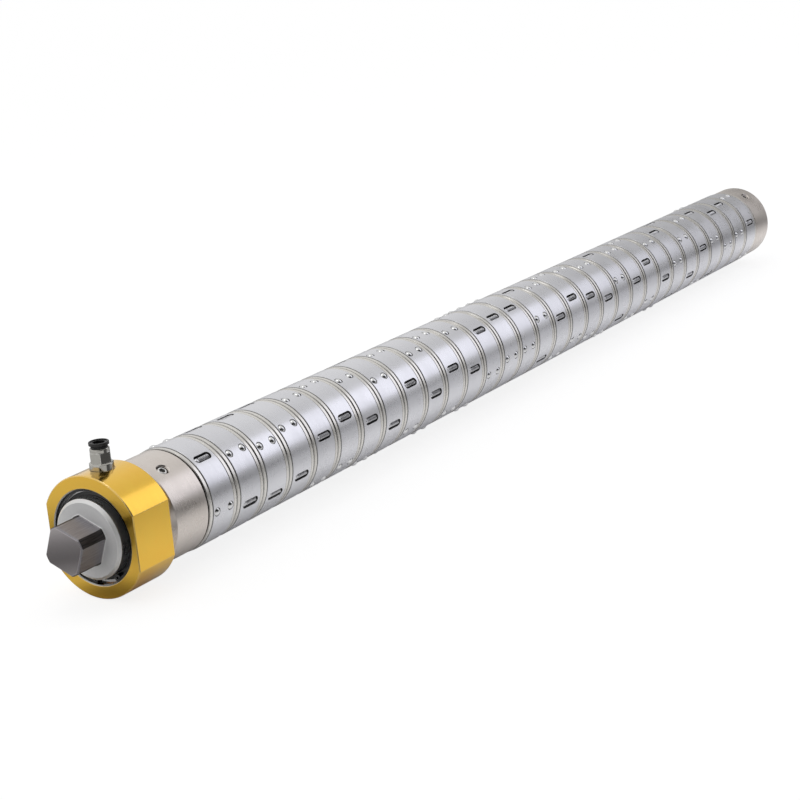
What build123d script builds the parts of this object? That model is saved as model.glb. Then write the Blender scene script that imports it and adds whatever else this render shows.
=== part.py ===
from build123d import *
import os
from math import acos, atan, cos, degrees, radians, sin, sqrt

os.makedirs("parts", exist_ok=True)

# Air differential shaft with ball-lock slip rings, in millimetres.
# The shaft's axis is X. The origin is on it, at the shoulder of the front journal,
# +X runs towards the rear journal and +Z points up through the air fitting.
# A turn is an angle in degrees about X, by the right-hand rule, counted from +Z.

# The shaft itself: the bearing seat and the mandrel have one diameter
shaft_diameter = 50.0
spigot_diameter = 30.0
spigot_end_wall = 2.0
air_bore_diameter = 10.0
cross_hole_diameter = 2.4
stub_blind_end = 6.0

# Journals: round bar milled square, so that its corners stay round
journal_across_flats = 28.0
journal_corner_height = 3.0
journal_length = 22.0
journal_turn = 21.6
journal_end_chamfer = 1.0
journal_root_fillet = 1.5

# Flanges behind the journals
flange_shoulder = 2.5
flange_chamfer = 2.0
rear_flange_length = 4.0

# Mandrel's three grooves for bladders and friction strips
groove_count = 3
groove_width = 14.4
groove_depth = 9.4
groove_end_margin = 1.0
mandrel_end_inset = 0.7
air_feed_diameter = 4.0
air_feed_inset = 12.0

# Friction strips and air bladders
strip_side_clearance = 0.2
strip_end_clearance = 0.5
strip_face_gap = 0.5
strip_height = 5.0
bladder_width = 12.6
bladder_height = 3.3
bladder_corner = 1.6
bladder_wall = 0.8
bladder_seat_gap = 0.1
bladder_sealed_end = 6.0
bladder_inlet_diameter = 3.0

# Slip rings
ring_pitch = 30.0
ring_gap = 0.6
hub_wall = 4.9
hub_step = 2.6
hub_bore_chamfer = 0.6
sleeve_wall = 4.8
sleeve_edge_chamfer = 0.3
rim_width = 3.55
rim_recess = 0.3
rim_gap = 0.15
rim_edge_chamfer = 0.5
running_clearance = 0.1
press_clearance = 0.02

# Ball lock: pairs of balls that climb ramps in the hub and rise through the sleeve
lock_count = 3
ball_rise = 1.2
ball_clearance = 0.05
window_clearance = 0.15
window_edge_wall = 0.25
window_mouth_lip = 0.35
window_mouth_depth = 0.3
ramp_depth = 0.9
ramp_rise_per_degree = 0.1
ramp_reach = 13.0

# Drag pins and their coil springs, in the slots of the sleeve
slot_end_wall = 2.8
slot_side_gap = 0.75
spring_wire_diameter = 0.7
spring_pitch = 1.3
spring_seat_gap = 0.15
spring_top_gap = 0.25
spring_rib_count = 8
spring_rib_height = 0.3
pin_neck_length = 1.2
pin_nose_diameter = 2.4
pin_hole_clearance = 0.1
pin_play = 0.05

# The turn, in whole degrees, at which each slip ring has stopped
ring_turns = (39, 108, 115, 108, 76, 67, 84, 104, 66, 92, 72, 86, 44, 35, 34, 4,
              75, 58, 67, 81, 4, 77, 59, 94, 20, 111, 78, 14, 33, 24, 75)

# Clamp collars at both ends of the stack of rings
collar_wall = 11.8
collar_length = 35.4
collar_lead_chamfer = 3.0
collar_edge_chamfer = 0.8
neck_length = 3.3
screw_count = 3
screw_turn = 31.0
front_screw_inset = 20.0
rear_screw_inset = 16.0
screw_diameter = 8.0
screw_end_chamfer = 1.0
screw_sink = 1.2
screw_socket = 4.0
screw_socket_depth = 4.0
screw_countersink_diameter = 9.8

# Air ring: a housing with two flats that stays still while the shaft turns
air_ring_wall = 9.5
air_ring_flat_depth = 4.5
air_ring_length = 35.0
air_ring_edge_chamfer = 0.5
air_ring_setback = 5.0
air_ring_mouth_chamfer = 0.75
air_ring_lip_height = 1.6
air_ring_lip_width = 1.65
circlip_depth = 2.0
circlip_groove_width = 2.65
circlip_groove_depth = 1.5
circlip_width = 2.9
circlip_turn = 169.5
circlip_lug_turn = 19.5
circlip_lug_radius = 2.4
circlip_lug_inset = 3.5
circlip_lug_hole_diameter = 2.0
circlip_play = 0.1

# Thin ball bearings, 50 x 65 x 7
bearing_section = 7.5
bearing_width = 7.0
race_wall = 2.3
bearing_ball_diameter = 4.0
bearing_ball_count = 12
bearing_play = 0.08
cage_wall = 1.3
cage_width = 4.6
shield_thickness = 0.5
shield_inset = 0.3
shield_clearance = 0.2

# Seal carrier between the bearings, with two lip seals and two O-rings
carrier_bore_gap = 1.0
carrier_wall = 2.9
seal_width = 3.6
seal_inset = 1.0
lip_gap = 0.08
lip_heel = 1.2
lip_thickness = 0.9
lip_lean = 0.3
air_channel_width = 2.4
air_channel_depth = 2.0
carrier_hole_diameter = 2.2
carrier_hole_count = 4
o_ring_section = 1.6
o_ring_inset = 1.9
o_ring_play = 0.1

# Push-in fitting for an 8 mm air tube
tube_diameter = 8.0
tube_clearance = 0.1
tube_stop_depth = 14.5
fitting_air_diameter = 5.0
fitting_bore_wall = 1.0
fitting_bore_depth = 12.0
hex_wall = 1.5
hex_height = 7.0
hex_turn = 42.0
base_overhang = 1.5
base_height = 5.2
base_chamfer = 0.6
spotface_margin = 0.5
spotface_depth = 0.9
stud_step = 0.5
stud_end_gap = 0.4
crown_height = 2.7
crown_fillet = 0.8
collar_head_overhang = 0.25
collar_head_height = 2.0
collar_neck_height = 2.0
collar_travel = 1.0
collar_dish_wall = 1.0
collar_dish_depth = 0.6
collar_slide_clearance = 0.1
guard_wall = 0.6
guard_height = 0.9
grip_depth = 8.6
grip_height = 0.8
grip_clearance = 0.2
grip_slit_count = 8
grip_slit_width = 0.5
grip_slit_depth = 0.8
collar_head_fillet = 0.5
tube_o_ring_section = 0.8

# Worked out from the values above: radii of the shaft and the slip rings
shaft_radius = shaft_diameter / 2
spigot_radius = spigot_diameter / 2
journal_radius = journal_across_flats / 2 + journal_corner_height
flange_radius = shaft_radius + flange_shoulder
collar_radius = shaft_radius + collar_wall
groove_floor_radius = shaft_radius - groove_depth
strip_face_radius = shaft_radius - strip_face_gap
strip_base_radius = strip_face_radius - strip_height
hub_bore_radius = shaft_radius + running_clearance
hub_shoulder_radius = hub_bore_radius + hub_wall
hub_radius = hub_shoulder_radius + hub_step
sleeve_bore_radius = hub_radius + running_clearance
sleeve_radius = sleeve_bore_radius + sleeve_wall
rim_radius = sleeve_radius - rim_recess

# Radii of the bearings, the seal carrier and the air ring
inner_race_radius = shaft_radius + race_wall
bearing_outer_radius = shaft_radius + bearing_section
outer_race_radius = bearing_outer_radius - race_wall
bearing_pitch_radius = (inner_race_radius + outer_race_radius) / 2
carrier_inner_radius = shaft_radius + carrier_bore_gap
seal_groove_radius = bearing_outer_radius - carrier_wall
air_channel_radius = bearing_outer_radius - air_channel_depth
air_ring_radius = bearing_outer_radius + air_ring_wall
spotface_radius = air_ring_radius - spotface_depth
circlip_groove_radius = bearing_outer_radius + circlip_groove_depth
circlip_outer_radius = circlip_groove_radius - circlip_play
circlip_inner_radius = circlip_outer_radius - circlip_width

# Radii of the air fitting, about its own axis
tube_seat_radius = tube_diameter / 2 + tube_clearance
fitting_bore_radius = tube_diameter / 2 + fitting_bore_wall
hex_radius = fitting_bore_radius + hex_wall
base_radius = hex_radius + base_overhang
stud_radius = hex_radius - stud_step
collar_head_radius = hex_radius + collar_head_overhang

# Places along the shaft
air_ring_start = air_ring_setback
air_ring_end = air_ring_start + air_ring_length
front_bearing_start = air_ring_start + circlip_depth + circlip_groove_width
carrier_start = front_bearing_start + bearing_width
rear_bearing_end = air_ring_end - air_ring_lip_width
rear_bearing_start = rear_bearing_end - bearing_width
carrier_length = rear_bearing_start - carrier_start
seal_start = carrier_start + seal_inset
front_collar_start = air_ring_end + neck_length
stack_start = front_collar_start + collar_length + ring_gap / 2
stack_end = stack_start + len(ring_turns) * ring_pitch
rear_collar_start = stack_end + ring_gap / 2
mandrel_start = front_collar_start + mandrel_end_inset
mandrel_end = rear_collar_start + collar_length - mandrel_end_inset
groove_start = stack_start + groove_end_margin
spigot_length = groove_start - spigot_end_wall - mandrel_start
groove_length = stack_end - groove_end_margin - groove_start
groove_turns = [step * 360 / groove_count for step in range(groove_count)]
fitting_x = (air_ring_start + air_ring_end) / 2
crown_top = spotface_radius + base_height + hex_height + crown_height

# Inside one slip ring, whose middle is at x = 0
ring_width = ring_pitch - ring_gap
hub_body_width = ring_width - 2 * rim_width
sleeve_width = hub_body_width - 2 * rim_gap
ball_radius = (sleeve_radius + ball_rise - hub_radius + ramp_depth) / 2
ball_centre_radius = sleeve_radius + ball_rise - ball_radius
window_radius = ball_radius + window_clearance
ball_spacing = sleeve_width - 2 * window_edge_wall - 2 * window_radius
ball_places = (-ball_spacing / 2, ball_spacing / 2)
ramp_width = ball_spacing + 2 * window_radius
ramp_slope = atan(ramp_rise_per_degree / radians(ball_centre_radius - ball_radius))
ramp_floor_radius = ball_centre_radius - (ball_radius + ball_clearance) / cos(ramp_slope)
spring_radius = (sleeve_radius - spring_top_gap - hub_radius - spring_seat_gap) / 2
spring_centre_radius = hub_radius + spring_seat_gap + spring_radius
slot_length = sleeve_width - 2 * slot_end_wall
slot_width = 2 * (spring_radius + slot_side_gap)
pin_nose_radius = pin_nose_diameter / 2
pin_nose_x = pin_play - hub_body_width / 2
pin_dome_x = pin_play - slot_length / 2 + spring_radius
spring_start = pin_dome_x + pin_neck_length + pin_play
spring_end = slot_length / 2 - slot_width / 2 + sqrt((slot_width / 2) ** 2 - spring_radius**2) - pin_play
slot_turns = [step * 360 / lock_count for step in range(lock_count)]
lock_turns = [turn + 180 / lock_count for turn in slot_turns]


def polar(radius, turn):
    """The point at a radius and a turn, as Y and Z."""
    return -radius * sin(radians(turn)), radius * cos(radians(turn))


def radial_plane(x, radius, turn):
    """A plane square to a radius of the shaft, with its own x along the shaft."""
    y, z = polar(1, turn)
    return Plane(origin=(x, radius * y, radius * z), x_dir=(1, 0, 0), z_dir=(0, y, z))


def fitting_plane(height):
    """The level plane at a height over the shaft's axis, centred on the air fitting."""
    return Plane(origin=(fitting_x, 0, height))


def across(x):
    """The plane across the shaft at x, with Y and Z as its own axes."""
    return Plane.YZ.offset(x)


def turned_ring(start, length, inner, outer, edge=0.0):
    """A plain ring about the shaft's axis, with its outer edges chamfered."""
    with BuildPart() as ring:
        with BuildSketch(across(start)):
            Circle(outer)
            Circle(inner, mode=Mode.SUBTRACT)
        extrude(amount=length)
        if edge:
            rims = ring.edges().filter_by(GeomType.CIRCLE).group_by(SortBy.RADIUS)[-1]
            chamfer(rims, edge)
    return ring.part


def write(part, name):
    """Labels a finished piece and writes its STEP file."""
    part.label = name
    export_step(part, f"parts/{name}.step")


# Front journal: square, flange, bearing seat and spigot, with the air way through it
with BuildPart() as front_journal:
    with BuildSketch(across(0)):
        Circle(flange_radius)
    extrude(amount=front_bearing_start)
    chamfer(front_journal.edges().sort_by(Axis.X)[0], flange_chamfer)
    with BuildSketch(across(front_bearing_start)):
        Circle(shaft_radius)
    extrude(amount=mandrel_start - front_bearing_start)
    with BuildSketch(across(mandrel_start)):
        Circle(spigot_radius)
    extrude(amount=spigot_length)
    with BuildSketch(across(-journal_length)):
        Circle(journal_radius)
        Rectangle(journal_across_flats, journal_across_flats, rotation=journal_turn, mode=Mode.INTERSECT)
    extrude(amount=journal_length)
    chamfer(front_journal.faces().sort_by(Axis.X)[0].edges(), journal_end_chamfer)
    shoulder = front_journal.faces().filter_by(Axis.X).sort_by(Axis.X)[1]
    fillet(shoulder.inner_wires()[0].edges(), journal_root_fillet)
    with BuildSketch(across(mandrel_start + spigot_length)):
        Circle(air_bore_diameter / 2)
    extrude(amount=fitting_x - stub_blind_end - mandrel_start - spigot_length, mode=Mode.SUBTRACT)
    with BuildSketch(Plane.XY):
        with Locations((fitting_x, 0)):
            Circle(cross_hole_diameter / 2)
    extrude(amount=shaft_radius, both=True, mode=Mode.SUBTRACT)
write(front_journal.part, "front_journal")

# Rear journal: the same square on a plain flange and spigot
with BuildPart() as rear_journal:
    with BuildSketch(across(mandrel_end - spigot_length)):
        Circle(spigot_radius)
    extrude(amount=spigot_length)
    with BuildSketch(across(mandrel_end)):
        Circle(shaft_radius)
    extrude(amount=rear_flange_length)
    with BuildSketch(across(mandrel_end + rear_flange_length)):
        Circle(journal_radius)
        Rectangle(journal_across_flats, journal_across_flats, rotation=journal_turn, mode=Mode.INTERSECT)
    extrude(amount=journal_length)
    chamfer(rear_journal.faces().sort_by(Axis.X)[-1].edges(), journal_end_chamfer)
    shoulder = rear_journal.faces().filter_by(Axis.X).sort_by(Axis.X)[-2]
    fillet(shoulder.inner_wires()[0].edges(), journal_root_fillet)
write(rear_journal.part, "rear_journal")

# Mandrel: a bar with an air bore, three grooves and a feed hole into each groove
with BuildPart() as mandrel:
    with BuildSketch(across(mandrel_start)):
        Circle(shaft_radius)
    extrude(amount=mandrel_end - mandrel_start)
    with BuildSketch(across(groove_start)):
        with PolarLocations(groove_floor_radius, groove_count, start_angle=90):
            Rectangle(shaft_radius, groove_width, align=(Align.MIN, Align.CENTER))
    extrude(amount=groove_length, mode=Mode.SUBTRACT)
    with BuildSketch(across(mandrel_start)):
        Circle(air_bore_diameter / 2)
    extrude(amount=mandrel_end - mandrel_start, mode=Mode.SUBTRACT)
    with BuildSketch(across(mandrel_start), across(mandrel_end - spigot_length)):
        Circle(spigot_radius + press_clearance)
    extrude(amount=spigot_length, mode=Mode.SUBTRACT)
    feed_x = groove_start + air_feed_inset
    feeds = [radial_plane(feed_x, groove_floor_radius, turn) for turn in groove_turns]
    with BuildSketch(*feeds):
        Circle(air_feed_diameter / 2)
    extrude(amount=-groove_floor_radius, mode=Mode.SUBTRACT)
write(mandrel.part, "mandrel")

# Air bladders: flat closed tubes at the bottom of the grooves, each with its inlet below
bladder_centre_radius = groove_floor_radius + bladder_seat_gap + bladder_height / 2
with BuildPart() as air_bladders:
    with BuildSketch(across(groove_start + strip_end_clearance)):
        with PolarLocations(bladder_centre_radius, groove_count, start_angle=90):
            RectangleRounded(bladder_height, bladder_width, bladder_corner)
    extrude(amount=groove_length - 2 * strip_end_clearance)
    with BuildSketch(across(groove_start + strip_end_clearance + bladder_sealed_end)):
        with PolarLocations(bladder_centre_radius, groove_count, start_angle=90):
            RectangleRounded(
                bladder_height - 2 * bladder_wall,
                bladder_width - 2 * bladder_wall,
                bladder_corner - bladder_wall,
            )
    extrude(amount=groove_length - 2 * strip_end_clearance - 2 * bladder_sealed_end, mode=Mode.SUBTRACT)
    with BuildSketch(*feeds):
        Circle(bladder_inlet_diameter / 2)
    extrude(amount=bladder_seat_gap + bladder_height / 2, mode=Mode.SUBTRACT)
write(air_bladders.part, "air_bladders")

# Friction strips: the bladders push them out against the bores of the slip rings
for strip_turn, letter in zip(groove_turns, "abc"):
    with BuildPart() as friction_strip:
        with BuildSketch(across(groove_start + strip_end_clearance)):
            Circle(strip_face_radius)
            with Locations(polar(strip_base_radius, strip_turn)):
                Rectangle(
                    groove_width - 2 * strip_side_clearance,
                    shaft_radius,
                    align=(Align.CENTER, Align.MIN),
                    rotation=strip_turn,
                    mode=Mode.INTERSECT,
                )
        extrude(amount=groove_length - 2 * strip_end_clearance)
    write(friction_strip.part, f"friction_strip_{letter}")

# Clamp collars, each with a wide chamfer on its outer end and three threaded holes for set screws
front_screw_x = front_collar_start + collar_length - front_screw_inset
rear_screw_x = rear_collar_start + rear_screw_inset
collars = (
    ("front_collar", front_collar_start, front_screw_x, collar_lead_chamfer, collar_edge_chamfer),
    ("rear_collar", rear_collar_start, rear_screw_x, collar_edge_chamfer, collar_lead_chamfer),
)
screw_turns = [screw_turn + step * 360 / screw_count for step in range(screw_count)]
for collar_name, collar_start, screw_x, front_chamfer, rear_chamfer in collars:
    with BuildPart() as collar:
        add(turned_ring(collar_start, collar_length, shaft_radius + press_clearance, collar_radius))
        chamfer(collar.faces().sort_by(Axis.X)[0].outer_wire().edges(), front_chamfer)
        chamfer(collar.faces().sort_by(Axis.X)[-1].outer_wire().edges(), rear_chamfer)
        with Locations(*[radial_plane(screw_x, collar_radius, turn) for turn in screw_turns]):
            CounterSinkHole(screw_diameter / 2, screw_countersink_diameter / 2, depth=collar_radius)
    write(collar.part, collar_name)

# Set screws: cone end on the mandrel, hexagon socket outwards
screw_length = collar_radius - screw_sink - shaft_radius - press_clearance
with BuildPart() as collar_screws:
    for screw_x in (front_screw_x, rear_screw_x):
        outer_planes = [radial_plane(screw_x, collar_radius - screw_sink, turn) for turn in screw_turns]
        with BuildSketch(*outer_planes):
            Circle(screw_diameter / 2 - press_clearance)
        extrude(amount=-screw_length)
        with BuildSketch(*outer_planes):
            RegularPolygon(screw_socket / 2, 6, major_radius=False)
        extrude(amount=-screw_socket_depth, mode=Mode.SUBTRACT)
    ends = collar_screws.edges().filter_by(GeomType.CIRCLE)
    chamfer(ends, screw_end_chamfer)
write(collar_screws.part, "collar_screws")

# Neck spacer: holds the inner races against the flange
spacer_length = front_collar_start - rear_bearing_end
spacer_bore = shaft_radius + press_clearance
write(turned_ring(rear_bearing_end, spacer_length, spacer_bore, inner_race_radius), "neck_spacer")

# Ball bearings of the air ring: races with round grooves, balls, cages and thin shields
bearing_starts = (front_bearing_start, rear_bearing_start)
bearing_middles = [across(start + bearing_width / 2) for start in bearing_starts]
race_groove_radius = bearing_ball_diameter / 2 + bearing_play
races = (
    ("inner_races", shaft_radius + press_clearance, inner_race_radius),
    ("outer_races", outer_race_radius, bearing_outer_radius),
)
for races_name, inner, outer in races:
    with BuildPart() as race_pair:
        for start in bearing_starts:
            add(turned_ring(start, bearing_width, inner, outer))
        with Locations(*bearing_middles):
            Torus(bearing_pitch_radius, race_groove_radius, mode=Mode.SUBTRACT)
    write(race_pair.part, races_name)

with BuildPart() as bearing_balls:
    with Locations(*bearing_middles):
        with PolarLocations(bearing_pitch_radius, bearing_ball_count):
            Sphere(bearing_ball_diameter / 2)
write(bearing_balls.part, "bearing_balls")

cage_inner_radius = bearing_pitch_radius - cage_wall / 2
cage_outer_radius = bearing_pitch_radius + cage_wall / 2
with BuildPart() as bearing_cages:
    for start in bearing_starts:
        cage_start = start + (bearing_width - cage_width) / 2
        add(turned_ring(cage_start, cage_width, cage_inner_radius, cage_outer_radius))
    with Locations(*bearing_middles):
        with PolarLocations(bearing_pitch_radius, bearing_ball_count):
            Cylinder(race_groove_radius, bearing_ball_diameter, rotation=(0, 90, 0), mode=Mode.SUBTRACT)
write(bearing_cages.part, "bearing_cages")

shield_inner_radius = inner_race_radius + shield_clearance
with BuildPart() as bearing_shields:
    for start in bearing_starts:
        for shield_x in (start + shield_inset, start + bearing_width - shield_inset - shield_thickness):
            add(turned_ring(shield_x, shield_thickness, shield_inner_radius, outer_race_radius))
write(bearing_shields.part, "bearing_shields")

# Air ring: bore for the bearings, groove for the circlip, spotface and hole for the fitting
circlip_groove_start = air_ring_start + circlip_depth
with BuildPart() as air_ring:
    with BuildSketch(across(air_ring_start)):
        Circle(air_ring_radius)
        Rectangle(
            2 * (air_ring_radius - air_ring_flat_depth), 2 * air_ring_radius, mode=Mode.INTERSECT
        )
    extrude(amount=air_ring_length)
    chamfer(air_ring.faces().filter_by(Axis.X).edges(), air_ring_edge_chamfer)
    with BuildSketch(across(air_ring_start)):
        Circle(bearing_outer_radius + press_clearance)
    extrude(amount=air_ring_length - air_ring_lip_width, mode=Mode.SUBTRACT)
    mouth = air_ring.edges().filter_by(GeomType.CIRCLE).group_by(Axis.X)[0].sort_by(SortBy.RADIUS)[0]
    chamfer(mouth, air_ring_mouth_chamfer)
    with BuildSketch(across(rear_bearing_end)):
        Circle(bearing_outer_radius - air_ring_lip_height)
    extrude(amount=air_ring_lip_width, mode=Mode.SUBTRACT)
    with BuildSketch(across(circlip_groove_start)):
        Circle(circlip_groove_radius)
    extrude(amount=circlip_groove_width, mode=Mode.SUBTRACT)
    with BuildSketch(fitting_plane(spotface_radius)):
        Circle(base_radius + spotface_margin)
    extrude(amount=air_ring_radius, mode=Mode.SUBTRACT)
    with BuildSketch(fitting_plane(spotface_radius)):
        Circle(stud_radius + press_clearance)
    extrude(amount=air_channel_radius - spotface_radius, mode=Mode.SUBTRACT)
write(air_ring.part, "air_ring")

# Circlip: an open ring with a drilled lug at each end
circlip_ends = (circlip_turn - circlip_lug_turn, circlip_turn + circlip_lug_turn)
with BuildPart() as retaining_circlip:
    with BuildSketch(across(circlip_groove_start + circlip_play / 2)):
        with BuildLine():
            CenterArc(
                (0, 0),
                (circlip_inner_radius + circlip_outer_radius) / 2,
                90 + circlip_ends[1],
                360 - 2 * circlip_lug_turn,
            )
        trace(line_width=circlip_outer_radius - circlip_inner_radius)
        with Locations(*[polar(circlip_outer_radius - circlip_lug_inset, turn) for turn in circlip_ends]):
            Circle(circlip_lug_radius)
            Circle(circlip_lug_hole_diameter / 2, mode=Mode.SUBTRACT)
    extrude(amount=circlip_groove_width - circlip_play)
write(retaining_circlip.part, "retaining_circlip")

# Seal carrier: seats for two lip seals, an air channel with radial holes, two O-ring grooves
o_ring_middles = (carrier_start + o_ring_inset, rear_bearing_start - o_ring_inset)
o_ring_radius = bearing_outer_radius - o_ring_section / 2
with BuildPart() as seal_carrier:
    add(turned_ring(carrier_start, carrier_length, carrier_inner_radius, bearing_outer_radius))
    with BuildSketch(across(seal_start), across(rear_bearing_start - seal_inset - seal_width)):
        Circle(seal_groove_radius)
    extrude(amount=seal_width, mode=Mode.SUBTRACT)
    with BuildSketch(across(fitting_x - air_channel_width / 2)):
        Circle(circlip_groove_radius)
        Circle(air_channel_radius, mode=Mode.SUBTRACT)
    extrude(amount=air_channel_width, mode=Mode.SUBTRACT)
    with BuildSketch(*[across(middle - o_ring_section / 2 - o_ring_play) for middle in o_ring_middles]):
        Circle(circlip_groove_radius)
        Circle(bearing_outer_radius - o_ring_section - o_ring_play, mode=Mode.SUBTRACT)
    extrude(amount=o_ring_section + 2 * o_ring_play, mode=Mode.SUBTRACT)
    hole_turns = [step * 360 / carrier_hole_count for step in range(carrier_hole_count)]
    with Locations(*[radial_plane(fitting_x, bearing_outer_radius, turn) for turn in hole_turns]):
        Hole(carrier_hole_diameter / 2, depth=bearing_outer_radius)
write(seal_carrier.part, "seal_carrier")

# Rotary seals: two lip seals that face the air chamber, the carrier's O-rings, the tube's O-ring
seal_end = seal_start + seal_width
lip_radius = shaft_radius + lip_gap
with BuildPart() as rotary_seals:
    with BuildSketch(Plane.XZ):
        with BuildLine():
            Polyline(
                (seal_start, seal_groove_radius),
                (seal_end, seal_groove_radius),
                (seal_end, seal_groove_radius - lip_thickness),
                (seal_start + lip_heel, seal_groove_radius - lip_thickness),
                (seal_start + lip_heel, lip_radius + lip_lean + lip_thickness),
                (seal_end, lip_radius + lip_thickness),
                (seal_end, lip_radius),
                (seal_start, lip_radius + lip_lean),
                close=True,
            )
        make_face()
    revolve(axis=Axis.X)
    mirror(about=across((carrier_start + rear_bearing_start) / 2))
    with Locations(*[across(middle) for middle in o_ring_middles]):
        Torus(o_ring_radius, o_ring_section / 2)
    with Locations(fitting_plane(crown_top - grip_depth - grip_height - tube_o_ring_section)):
        Torus(fitting_bore_radius - tube_o_ring_section / 2 - press_clearance, tube_o_ring_section / 2)
write(rotary_seals.part, "rotary_seals")

# Fitting body: stud, round base, hexagon and crown, bored for the tube
stud_end = bearing_outer_radius + stud_end_gap
hex_bottom = spotface_radius + base_height
crown_bottom = hex_bottom + hex_height
with BuildPart() as fitting_body:
    with BuildSketch(fitting_plane(spotface_radius)):
        Circle(base_radius)
    extrude(amount=base_height)
    chamfer(fitting_body.edges().group_by(Axis.Z)[-1], base_chamfer)
    with BuildSketch(fitting_plane(hex_bottom)):
        RegularPolygon(hex_radius, 6, major_radius=False, rotation=hex_turn)
    extrude(amount=hex_height)
    with BuildSketch(fitting_plane(crown_bottom)):
        Circle(hex_radius)
    extrude(amount=crown_height)
    fillet(fitting_body.edges().group_by(Axis.Z)[-1], crown_fillet)
    with BuildSketch(fitting_plane(spotface_radius)):
        Circle(stud_radius)
    extrude(amount=stud_end - spotface_radius)
    for bore_radius, bore_depth in (
        (fitting_bore_radius, fitting_bore_depth),
        (tube_seat_radius, tube_stop_depth),
        (fitting_air_diameter / 2, crown_top - stud_end),
    ):
        with Locations(fitting_plane(crown_top)):
            Hole(bore_radius, depth=bore_depth)
write(fitting_body.part, "fitting_body")

# Tube collet: a guard on the crown and a toothed grip ring in the bore
grip_radius = tube_diameter / 2 + grip_clearance
with BuildPart() as tube_collet:
    with BuildSketch(fitting_plane(crown_top)):
        Circle(fitting_bore_radius + guard_wall)
        Circle(fitting_bore_radius, mode=Mode.SUBTRACT)
    extrude(amount=guard_height)
    with BuildSketch(fitting_plane(crown_top - grip_depth)):
        Circle(fitting_bore_radius - press_clearance)
        Circle(grip_radius, mode=Mode.SUBTRACT)
        with PolarLocations(grip_radius, grip_slit_count):
            Rectangle(grip_slit_depth, grip_slit_width, mode=Mode.SUBTRACT)
    extrude(amount=-grip_height)
write(tube_collet.part, "tube_collet")

# Release collar: pushed down to free the tube
collar_head_bottom = crown_top + collar_neck_height
collar_stem_bottom = crown_top - grip_depth + collar_travel + collar_slide_clearance
with BuildPart() as release_collar:
    with BuildSketch(fitting_plane(collar_stem_bottom)):
        Circle(fitting_bore_radius - collar_slide_clearance)
    extrude(amount=collar_head_bottom - collar_stem_bottom)
    with BuildSketch(fitting_plane(collar_head_bottom)):
        Circle(collar_head_radius)
    extrude(amount=collar_head_height)
    fillet(release_collar.edges().group_by(Axis.Z)[-1], collar_head_fillet)
    with Locations(fitting_plane(collar_head_bottom + collar_head_height)):
        CounterBoreHole(
            tube_seat_radius,
            collar_head_radius - collar_dish_wall,
            collar_dish_depth,
            depth=collar_head_bottom + collar_head_height - collar_stem_bottom,
        )
write(release_collar.part, "release_collar")

# Slip ring, hub: runs on the mandrel and carries a ramp under each pair of balls
with BuildPart() as hub:
    with BuildSketch(across(-ring_width / 2)):
        Circle(hub_shoulder_radius)
    extrude(amount=ring_width)
    with BuildSketch(across(-hub_body_width / 2)):
        Circle(hub_radius)
    extrude(amount=hub_body_width)
    with BuildSketch(across(-ring_width / 2)):
        Circle(hub_bore_radius)
    extrude(amount=ring_width, mode=Mode.SUBTRACT)
    chamfer(hub.edges().filter_by(GeomType.CIRCLE).group_by(SortBy.RADIUS)[0], hub_bore_chamfer)
    with BuildSketch(across(-ramp_width / 2)):
        for turn in lock_turns:
            low, middle, high = [
                polar(ramp_floor_radius + reach * ramp_rise_per_degree, turn + reach)
                for reach in (-ramp_reach, 0, ramp_reach)
            ]
            with BuildLine():
                ThreePointArc(low, middle, high)
                Polyline(
                    high,
                    polar(sleeve_radius, turn + ramp_reach),
                    polar(sleeve_radius, turn - ramp_reach),
                    low,
                )
            make_face()
    extrude(amount=ramp_width, mode=Mode.SUBTRACT)

# Slip ring, rims: a ring pressed on each shoulder of the hub
with BuildPart() as rims:
    for rim_x in (-ring_width / 2, hub_body_width / 2):
        add(turned_ring(rim_x, rim_width, hub_shoulder_radius, rim_radius, rim_edge_chamfer))

# Slip ring, sleeve: windows for the balls, slots for the drag pins and their springs
with BuildPart() as sleeve:
    add(turned_ring(
        -sleeve_width / 2, sleeve_width, sleeve_bore_radius, sleeve_radius, sleeve_edge_chamfer
    ))
    mouth_radius = sleeve_radius - window_mouth_depth
    mouths = [radial_plane(x, mouth_radius, turn) for turn in lock_turns for x in ball_places]
    with BuildSketch(*mouths):
        Circle(window_radius)
    extrude(amount=-sleeve_radius + hub_radius, mode=Mode.SUBTRACT)
    with BuildSketch(*mouths):
        Circle(window_radius - window_mouth_lip - window_clearance)
    extrude(amount=window_mouth_depth, mode=Mode.SUBTRACT)
    with BuildSketch(*[radial_plane(0, hub_shoulder_radius, turn) for turn in slot_turns]):
        SlotOverall(slot_length, slot_width)
    extrude(amount=sleeve_radius - hub_shoulder_radius, mode=Mode.SUBTRACT)
    with BuildSketch(across(-sleeve_width / 2)):
        with PolarLocations(spring_centre_radius, lock_count, start_angle=90):
            Circle(pin_nose_radius + pin_hole_clearance)
    extrude(amount=(sleeve_width - slot_length + slot_width) / 2, mode=Mode.SUBTRACT)

# Slip ring, balls: one pair over each ramp
ball_pairs = []
for turn in lock_turns:
    with BuildPart() as ball_pair:
        with Locations(*[(x, *polar(ball_centre_radius, turn)) for x in ball_places]):
            Sphere(ball_radius)
    ball_pairs.append(ball_pair.part)


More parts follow.
